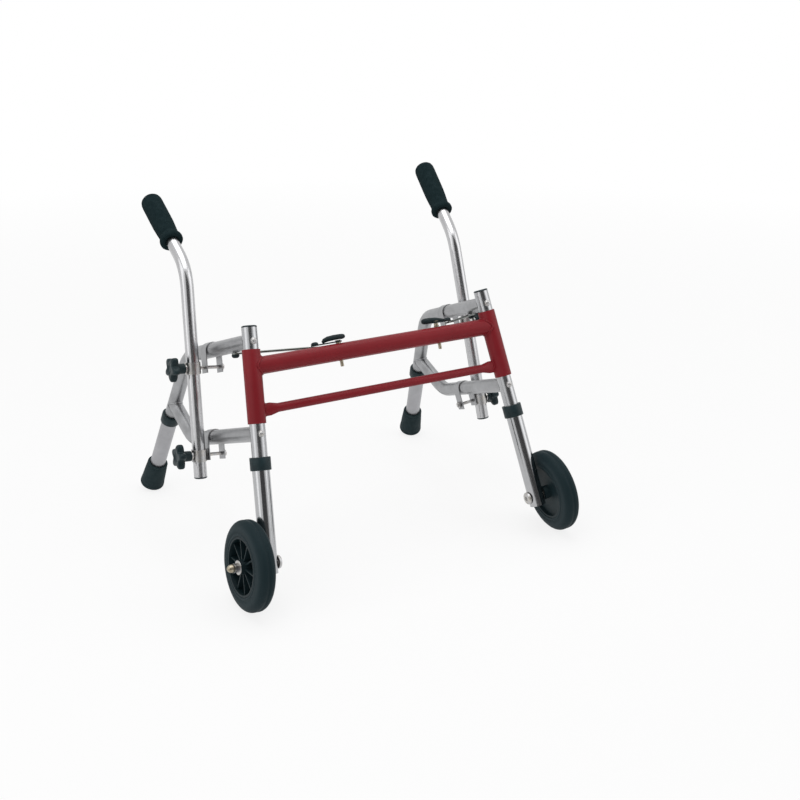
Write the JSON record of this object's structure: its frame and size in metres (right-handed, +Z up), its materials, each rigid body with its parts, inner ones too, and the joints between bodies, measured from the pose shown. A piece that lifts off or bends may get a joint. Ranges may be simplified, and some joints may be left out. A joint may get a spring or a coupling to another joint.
{
  "type": "folding walker",
  "caption": "Child-size folding walker: red crossbars between aluminium side frames that swing inward, wheeled front legs, rubber-footed rear legs and clamped handles with foam grips.",
  "frame": {"origin": "on the floor, at the centre of the part's footprint box", "axes": "+Z up, +X to the side with the right wheel seen from the crossbars, +Y from the crossbars towards the rear feet"},
  "size_m": [0.6594, 0.6007, 0.5915],
  "materials": {
    "red_paint": "gloss",
    "bright_tube": "polished",
    "satin_tube": "satin",
    "steel": "satin",
    "brass": "satin",
    "black_plastic": "satin",
    "foam": "matte",
    "foot_rubber": "matte",
    "tyre_rubber": "matte"
  },
  "bodies": {
    "front_frame": {"crossbar": "red_paint", "lower_crossbar": "red_paint", "sleeve_left": "red_paint", "latch_pin_left": "brass", "sleeve_right": "red_paint", "latch_pin_right": "brass"},
    "side_left": {"pivot_post_left": "bright_tube", "post_cap_left": "black_plastic", "upper_rail_left": "satin_tube", "lower_rail_left": "satin_tube", "upper_saddle_left": "satin_tube", "lower_saddle_left": "satin_tube", "upper_eye_bolt_left": "steel", "lower_eye_bolt_left": "steel", "upper_clamp_nut_left": "steel", "lower_clamp_nut_left": "steel"},
    "brace_left": {"fold_brace_left": "steel"},
    "lever_left": {"latch_lever_left": "steel"},
    "upper_knob_left_body": {"upper_knob_left": "black_plastic"},
    "lower_knob_left_body": {"lower_knob_left": "black_plastic"},
    "front_leg_left": {"front_leg_tube_left": "bright_tube", "front_collar_left": "black_plastic", "axle_bolt_left": "steel", "axle_nut_left": "steel"},
    "wheel_left": {"wheel_tyre_left": "tyre_rubber", "wheel_hub_left": "black_plastic"},
    "front_button_left": {"front_snap_button_left": "steel"},
    "rear_leg_left": {"rear_leg_tube_left": "satin_tube", "rear_collar_left": "black_plastic", "rear_foot_left": "foot_rubber"},
    "rear_button_left": {"rear_snap_button_left": "steel"},
    "handle_left": {"handle_tube_left": "bright_tube", "handle_grip_left": "foam"},
    "side_right": {"pivot_post_right": "bright_tube", "post_cap_right": "black_plastic", "upper_rail_right": "satin_tube", "lower_rail_right": "satin_tube", "upper_saddle_right": "satin_tube", "lower_saddle_right": "satin_tube", "upper_eye_bolt_right": "steel", "lower_eye_bolt_right": "steel", "upper_clamp_nut_right": "steel", "lower_clamp_nut_right": "steel"},
    "brace_right": {"fold_brace_right": "steel"},
    "lever_right": {"latch_lever_right": "steel"},
    "upper_knob_right_body": {"upper_knob_right": "black_plastic"},
    "lower_knob_right_body": {"lower_knob_right": "black_plastic"},
    "front_leg_right": {"front_leg_tube_right": "bright_tube", "front_collar_right": "black_plastic", "axle_bolt_right": "steel", "axle_nut_right": "steel"},
    "wheel_right": {"wheel_tyre_right": "tyre_rubber", "wheel_hub_right": "black_plastic"},
    "front_button_right": {"front_snap_button_right": "steel"},
    "rear_leg_right": {"rear_leg_tube_right": "satin_tube", "rear_collar_right": "black_plastic", "rear_foot_right": "foot_rubber"},
    "rear_button_right": {"rear_snap_button_right": "steel"},
    "handle_right": {"handle_tube_right": "bright_tube", "handle_grip_right": "foam"}
  },
  "joints": [
    {"name": "fold_left", "type": "hinge", "parent": "front_frame", "child": "side_left", "pos_m": [-0.2193, -0.08617, 0.41788], "axis": [0.1035, 0.371, 0.9229], "range_deg": [-70, 0]},
    {"name": "latch_turn_left", "type": "hinge", "parent": "front_frame", "child": "lever_left", "pos_m": [-0.06985, -0.10965, 0.35946], "axis": [0, 0.373, 0.9278], "range_deg": [-123.9, 2]},
    {"name": "brace_turn_left", "type": "hinge", "parent": "side_left", "child": "brace_left", "pos_m": [-0.22818, -0.04375, 0.36314], "axis": [0.1035, 0.371, 0.9229], "range_deg": [-2, 91.9]},
    {"name": "front_leg_slide_left", "type": "slide", "parent": "side_left", "child": "front_leg_left", "axis": [-0.1035, -0.371, -0.9229], "range_m": [-0.024, 0.072]},
    {"name": "wheel_spin_left", "type": "hinge", "parent": "front_leg_left", "child": "wheel_left", "pos_m": [-0.29093, -0.22745, 0.07409], "axis": [-0.9909, -0.0421, 0.1281], "continuous": true},
    {"name": "front_button_press_left", "type": "slide", "parent": "front_leg_left", "child": "front_button_left", "axis": [0.0864, -0.9277, 0.3632], "range_m": [0, 0.003], "stiffness_N_per_m": 1000},
    {"name": "rear_leg_slide_left", "type": "slide", "parent": "side_left", "child": "rear_leg_left", "axis": [-0.134, 0.4112, -0.9016], "range_m": [0, 0.072]},
    {"name": "rear_button_press_left", "type": "slide", "parent": "rear_leg_left", "child": "rear_button_left", "axis": [-0.0147, -0.9106, -0.4131], "range_m": [0, 0.003], "stiffness_N_per_m": 1000},
    {"name": "handle_slide_left", "type": "slide", "parent": "side_left", "child": "handle_left", "axis": [0.0698, 0.2387, 0.9686], "range_m": [-0.1, 0.015]},
    {"name": "upper_knob_turn_left", "type": "hinge", "parent": "side_left", "child": "upper_knob_left_body", "pos_m": [-0.2734, 0.0399, 0.31801], "axis": [-0.9909, -0.0421, 0.1281], "range_deg": [0, 360]},
    {"name": "lower_knob_turn_left", "type": "hinge", "parent": "side_left", "child": "lower_knob_left_body", "pos_m": [-0.28384, 0.0042, 0.17316], "axis": [-0.9909, -0.0421, 0.1281], "range_deg": [0, 360]},
    {"name": "fold_right", "type": "hinge", "parent": "front_frame", "child": "side_right", "pos_m": [0.2193, -0.08617, 0.41788], "axis": [-0.1035, 0.371, 0.9229], "range_deg": [0, 67]},
    {"name": "latch_turn_right", "type": "hinge", "parent": "front_frame", "child": "lever_right", "pos_m": [0.11885, -0.10965, 0.35946], "axis": [0, 0.373, 0.9278], "range_deg": [-2, 122.7]},
    {"name": "brace_turn_right", "type": "hinge", "parent": "side_right", "child": "brace_right", "pos_m": [0.22818, -0.04375, 0.36314], "axis": [-0.1035, 0.371, 0.9229], "range_deg": [-92, 2]},
    {"name": "front_leg_slide_right", "type": "slide", "parent": "side_right", "child": "front_leg_right", "axis": [0.1035, -0.371, -0.9229], "range_m": [-0.024, 0.072]},
    {"name": "wheel_spin_right", "type": "hinge", "parent": "front_leg_right", "child": "wheel_right", "pos_m": [0.29093, -0.22745, 0.07409], "axis": [0.9909, -0.0421, 0.1281], "continuous": true},
    {"name": "front_button_press_right", "type": "slide", "parent": "front_leg_right", "child": "front_button_right", "axis": [-0.0864, -0.9277, 0.3632], "range_m": [0, 0.003], "stiffness_N_per_m": 1000},
    {"name": "rear_leg_slide_right", "type": "slide", "parent": "side_right", "child": "rear_leg_right", "axis": [0.134, 0.4112, -0.9016], "range_m": [0, 0.072]},
    {"name": "rear_button_press_right", "type": "slide", "parent": "rear_leg_right", "child": "rear_button_right", "axis": [0.0147, -0.9106, -0.4131], "range_m": [0, 0.003], "stiffness_N_per_m": 1000},
    {"name": "handle_slide_right", "type": "slide", "parent": "side_right", "child": "handle_right", "axis": [-0.0698, 0.2387, 0.9686], "range_m": [-0.1, 0.015]},
    {"name": "upper_knob_turn_right", "type": "hinge", "parent": "side_right", "child": "upper_knob_right_body", "pos_m": [0.2734, 0.0399, 0.31801], "axis": [0.9909, -0.0421, 0.1281], "range_deg": [0, 360]},
    {"name": "lower_knob_turn_right", "type": "hinge", "parent": "side_right", "child": "lower_knob_right_body", "pos_m": [0.28384, 0.0042, 0.17316], "axis": [0.9909, -0.0421, 0.1281], "range_deg": [0, 360]}
  ],
  "couplings": [
    {"joint": "latch_turn_left", "follows": "fold_left", "ratio": 1.7419},
    {"joint": "brace_turn_left", "follows": "fold_left", "ratio": -1.2839},
    {"joint": "latch_turn_right", "follows": "fold_right", "ratio": 1.8017},
    {"joint": "brace_turn_right", "follows": "fold_right", "ratio": -1.3437}
  ]
}
